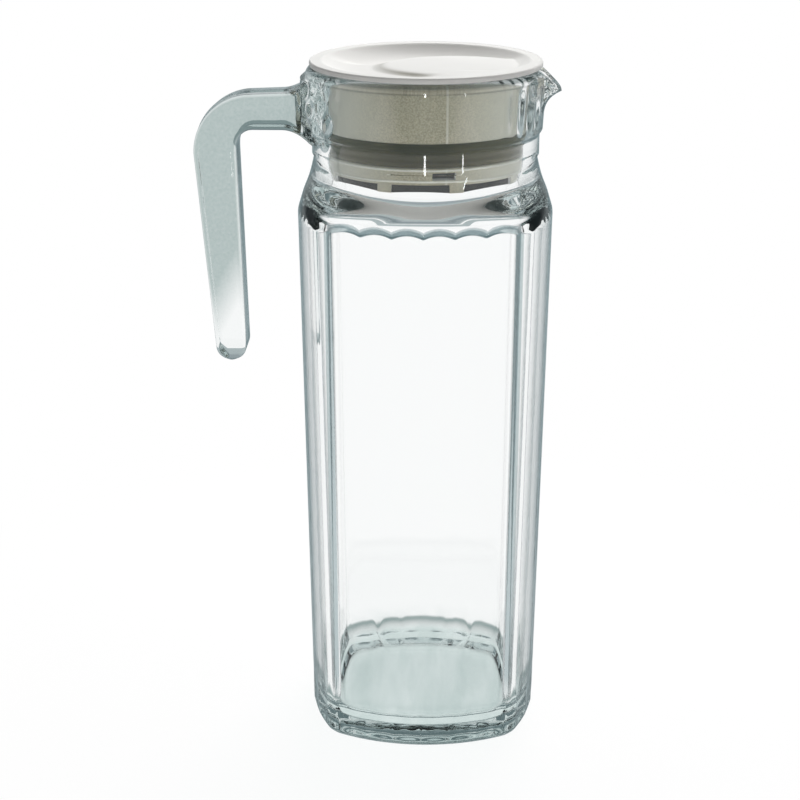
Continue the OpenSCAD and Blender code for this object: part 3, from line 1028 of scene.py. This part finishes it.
def glass_tint(nodes, place):
    """Clear glass, with shade painted grey on its pressed edges, on the handle, on the rim, low in the base
    and where it is seen edge-on.
    """
    axes = nodes.split(place)
    facing_y = nodes.split(nodes.add("TexCoord").outputs["Normal"])["Y"]
    tint = nodes.mix(handle_painted_shade(nodes, place, axes, facing_y), GLASS_CLEAR, HANDLE_SHADE_GREY)
    tint = nodes.mix(panel_edge(nodes, axes, facing_y), tint, PANEL_PAINTED_SHADE)
    tint = nodes.mix(rim_painted_shade(nodes, axes["Z"]), tint, RIM_PAINTED_SHADE)
    tint = nodes.mix(base_painted_shade(nodes, place, axes["Z"]), tint, BASE_SHADE_GREY)
    edge = nodes.add("LayerWeight")
    edge.inputs["Blend"].default_value = EDGE_BLEND
    return nodes.mix(nodes.rise(edge.outputs["Facing"], EDGE_RISE, EDGE_MOST), tint, EDGE_GREY)


def glass_material():
    """Clear pressed glass, with slight waves in its surface and a cool depth. Lamps shine through it."""
    material, nodes = new_material("pressed_glass")
    place = nodes.add("TexCoord").outputs["Object"]
    glass = nodes.add("BsdfPrincipled")
    glass.inputs["IOR"].default_value = GLASS_IOR
    glass.inputs["Transmission Weight"].default_value = 1
    nodes.link(glass_tint(nodes, place), glass.inputs["Base Color"])
    haze = nodes.rise(nodes.noise(place, HAZE_SCALE, detail=4), HAZE_RISE, HAZE_MOST)
    nodes.link(haze, glass.inputs["Roughness"])
    waves = nodes.bump(nodes.noise(place, WAVE_SCALE, detail=2), WAVE_STRENGTH, WAVE_H)
    nodes.link(waves, glass.inputs["Normal"])
    clear = nodes.add("BsdfTransparent")
    clear.inputs["Color"].default_value = GLASS_SHADOW
    path = nodes.add("LightPath")
    out = nodes.finish(nodes.mix_shaders(path.outputs["Is Shadow Ray"], glass, clear))
    depth = nodes.add("VolumeAbsorption")
    depth.inputs["Color"].default_value = GLASS_DEPTH
    depth.inputs["Density"].default_value = GLASS_DENSITY
    nodes.link(depth.outputs[0], out.inputs["Volume"])
    return material


def skirt_colour(nodes, place, axes, away):
    """Mottled olive of the plug, painted as shade, with painted light on its sides, painted highlights on the
    seam and ribs, and painted shade under the flange and in the pockets.
    """
    x = axes["X"]
    z = axes["Z"]
    mottle = nodes.rise(nodes.noise(place, SKIRT_SCALE, detail=3), SKIRT_RANGE)
    colour = nodes.mix(mottle, SKIRT_DARK, SKIRT_LIGHT)
    aside = nodes.rise(nodes.math("ABSOLUTE", x), ASIDE_RISE, SKIRT_SIDE_LIGHT_MOST)
    colour = nodes.mix(aside, colour, SKIRT_SIDE_LIGHT)
    colour = nodes.mix(nodes.fall(nodes.apart(x, MOULD_SEAM_X), SEAM_FADE, MOULD_SEAM_HIGHLIGHT_MOST), colour, MOULD_SEAM_HIGHLIGHT)
    for level in RIB_LEVELS:
        colour = nodes.mix(nodes.fall(nodes.apart(z, level), RIB_FADE, RIB_HIGHLIGHT_MOST), colour, RIB_HIGHLIGHT)
    colour = nodes.mix(nodes.rise(z, UNDER_FLANGE_RISE, UNDER_FLANGE_MOST), colour, UNDER_FLANGE)
    pocket = nodes.math("MULTIPLY", nodes.fall(away, POCKET_FADE), nodes.fall(z, POCKET_TOP_FADE))
    return nodes.mix(pocket, colour, POCKET_SHADE)


def on_skirt(nodes, axes, away):
    """1 on what looks outward below the rim, which takes the skirt's painted shade, and 0 on the top of the
    lid.
    """
    x, y, z = axes
    facing = nodes.split(nodes.add("TexCoord").outputs["Normal"])
    along_x = nodes.math("MULTIPLY", facing["X"], x)
    along_y = nodes.math("MULTIPLY", facing["Y"], y)
    looks_out = nodes.math("DIVIDE", nodes.math("ADD", along_x, along_y), away)
    return nodes.math("MULTIPLY", nodes.rise(looks_out, SKIRT_OUTWARD), nodes.fall(z, SKIRT_BELOW))


def cap_material():
    """Moulded plastic with a fine grain: a warm white top, and a skirt of the same plastic painted darker and
    olive as shade.
    """
    material, nodes = new_material("moulded_plastic")
    place = nodes.add("TexCoord").outputs["Object"]
    axes = nodes.split(place)
    level = nodes.add("CombineXYZ")
    nodes.link(axes["X"], level.inputs["X"])
    nodes.link(axes["Y"], level.inputs["Y"])
    away = nodes.length(level.outputs[0])
    top = nodes.mix(nodes.noise(place, TOP_CLOUD_SCALE, detail=3), TOP_CREAM, TOP_PALE)
    skirt = skirt_colour(nodes, place, axes, away)
    plastic = nodes.add("BsdfPrincipled")
    plastic.inputs["Specular IOR Level"].default_value = PLASTIC_SPECULAR
    nodes.link(nodes.mix(on_skirt(nodes, axes, away), top, skirt), plastic.inputs["Base Color"])
    grain = nodes.noise(place, GRAIN_SCALE, detail=2)
    nodes.link(nodes.map_range(grain, GRAIN_RANGE, GRAIN_ROUGHNESS), plastic.inputs["Roughness"])
    nodes.link(nodes.bump(grain, GRAIN_STRENGTH, GRAIN_H), plastic.inputs["Normal"])
    nodes.finish(plastic)
    return material


def seal_material():
    """Dark olive rubber with level streaks, with painted light making it paler towards its sides."""
    material, nodes = new_material("soft_ring")
    place = nodes.add("TexCoord").outputs["Object"]
    streak = nodes.noise(nodes.stretch(place, STREAK_STRETCH), STREAK_SCALE, detail=3)
    colour = nodes.mix(streak, RUBBER_DARK, RUBBER_LIGHT)
    aside = nodes.math("ABSOLUTE", nodes.split(place)["X"])
    colour = nodes.mix(nodes.rise(aside, ASIDE_RISE, RUBBER_SIDE_LIGHT_MOST), colour, RUBBER_SIDE_LIGHT)
    rubber = nodes.add("BsdfPrincipled")
    rubber.inputs["Specular IOR Level"].default_value = RUBBER_SPECULAR
    nodes.link(colour, rubber.inputs["Base Color"])
    nodes.link(nodes.map_range(streak, STREAK_RANGE, STREAK_ROUGHNESS), rubber.inputs["Roughness"])
    nodes.link(nodes.bump(streak, STREAK_STRENGTH, STREAK_H), rubber.inputs["Normal"])
    nodes.finish(rubber)
    return material


def seen_directly(nodes, path):
    """1 for rays from the camera, from gloss and through glass, and 0 for the rest."""
    total = nodes.math("ADD", path.outputs["Is Camera Ray"], path.outputs["Is Glossy Ray"])
    total = nodes.math("ADD", total, path.outputs["Is Transmission Ray"])
    return nodes.math("MINIMUM", total, 1)


def floor_material():
    """Pale and keeping the shadow near the jug, white further out, grey to gloss, and with a painted shadow
    under and round the jug for rays through the glass.
    """
    material, nodes = new_material("pale_floor")
    away = nodes.length(nodes.add("NewGeometry").outputs["Position"])
    path = nodes.add("LightPath")
    through_glass = path.outputs["Is Transmission Ray"]
    matt = nodes.add("BsdfDiffuse")
    matt.inputs["Color"].default_value = FLOOR_PALE
    ring = nodes.math("MULTIPLY", nodes.rise(away, RING_RISE), nodes.fall(away, RING_FADE))
    grey = nodes.mix(nodes.fall(away, UNDER_FADE), WHITE, UNDER_PAINTED_SHADOW)
    grey = nodes.mix(ring, grey, RING_PAINTED_SHADOW)
    plain = nodes.mix(path.outputs["Is Glossy Ray"], WHITE, GLOSS_GREY)
    glow = nodes.add("Emission")
    nodes.link(nodes.mix(through_glass, plain, grey), glow.inputs["Color"])
    far = nodes.map_range(away, FLOOR_WHITE_RISE, (FLOOR_WHITE_LEAST, 1))
    share = nodes.math("MULTIPLY", far, seen_directly(nodes, path))
    share = nodes.math("MAXIMUM", share, through_glass)
    nodes.finish(nodes.mix_shaders(share, matt, glow))
    return material


def add_floor():
    """The floor that the jug stands on."""
    half = FLOOR_HALF
    corners = [(-half, -half), (half, -half), (half, half), (-half, half)]
    mesh = bpy.data.meshes.new("floor")
    mesh.from_pydata([(x, y, -FLOOR_DROP) for x, y in corners], [], [(0, 1, 2, 3)])
    mesh.materials.append(floor_material())
    return add_object("floor", mesh)


def add_room():
    """A world that is white to the camera, banded grey to gloss and glass, and dim white to the rest."""
    world = bpy.data.worlds.new("studio")
    world.use_nodes = True
    bpy.context.scene.world = world
    nodes = Nodes(world.node_tree)
    path = nodes.add("LightPath")
    up = nodes.split(nodes.add("TexCoord").outputs["Generated"])["Z"]
    wall = ROOM_LEVEL
    for span, grey in ROOM_BANDS:
        wall = nodes.mix(nodes.rise(up, span), wall, grey)
    glass = nodes.math("ADD", path.outputs["Is Glossy Ray"], path.outputs["Is Transmission Ray"])
    backdrop = nodes.add("Background")
    nodes.link(nodes.mix(nodes.math("MINIMUM", glass, 1), WHITE, wall), backdrop.inputs["Color"])
    strength = nodes.map_range(seen_directly(nodes, path), (0, 1), (ROOM_LIGHT, ROOM_SEEN))
    nodes.link(strength, backdrop.inputs["Strength"])
    nodes.finish(backdrop, "OutputWorld")


def add_lamp(name, power, size, place, aim, in_gloss):
    """A rectangular lamp that looks at its aim, unseen by the camera and through glass."""
    light = bpy.data.lights.new(name, "AREA")
    light.energy = power
    light.shape = "RECTANGLE"
    light.size, light.size_y = size
    piece = bpy.data.objects.new(name, light)
    piece.location = place
    way = [a - b for a, b in zip(aim, place)]
    piece.rotation_euler = Vector(way).to_track_quat("-Z", "Y").to_euler()
    piece.visible_camera = False
    piece.visible_glossy = in_gloss
    piece.visible_transmission = False
    bpy.context.scene.collection.objects.link(piece)


def add_camera():
    """The camera, at the photo's angle."""
    data = bpy.data.cameras.new("camera")
    data.lens = CAMERA_LENS
    data.sensor_width = CAMERA_SENSOR
    data.clip_start = CAMERA_CLIP
    piece = bpy.data.objects.new("camera", data)
    piece.location = CAMERA_AT
    piece.rotation_euler = (math.radians(90 - CAMERA_PITCH), 0, math.radians(CAMERA_YAW))
    bpy.context.scene.collection.objects.link(piece)
    bpy.context.scene.camera = piece


# Jug and handle, as one piece of glass
jug = jug_glass()
handle = handle_glass()
outward(jug)
outward(handle)
boolean(jug, [handle], "UNION")
shade(jug, JUG_SHARP)
jug.data.materials.clear()
jug.data.materials.append(glass_material())
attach(jug, "jug")
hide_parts("jug_body", "jug_handle")

# Lid
cap = lid_cap()
cap.data.materials.clear()
cap.data.materials.append(cap_material())
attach(cap, "cap")
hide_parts("lid_cap")

# Soft ring
seal = seal_ring()
seal.data.materials.append(seal_material())
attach(seal, "seal")
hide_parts("lid_seal")

# Stage
floor = add_floor()
add_room()
add_lamp("overhead", OVERHEAD_POWER, OVERHEAD_SIZE, OVERHEAD_AT, OVERHEAD_AIM, False)
for name, width, x, y in STRIPS:
    power = STRIP_GLOW * width * STRIP_H
    add_lamp(name, power, (width, STRIP_H), (x, y, STRIP_Z), (0, 0, STRIP_Z), True)
add_camera()
bpy.context.scene.view_settings.view_transform = "Standard"
bpy.context.scene.cycles.max_bounces = 32
bpy.context.scene.cycles.glossy_bounces = 16
bpy.context.scene.cycles.transmission_bounces = 24

bpy.context.view_layer.update()
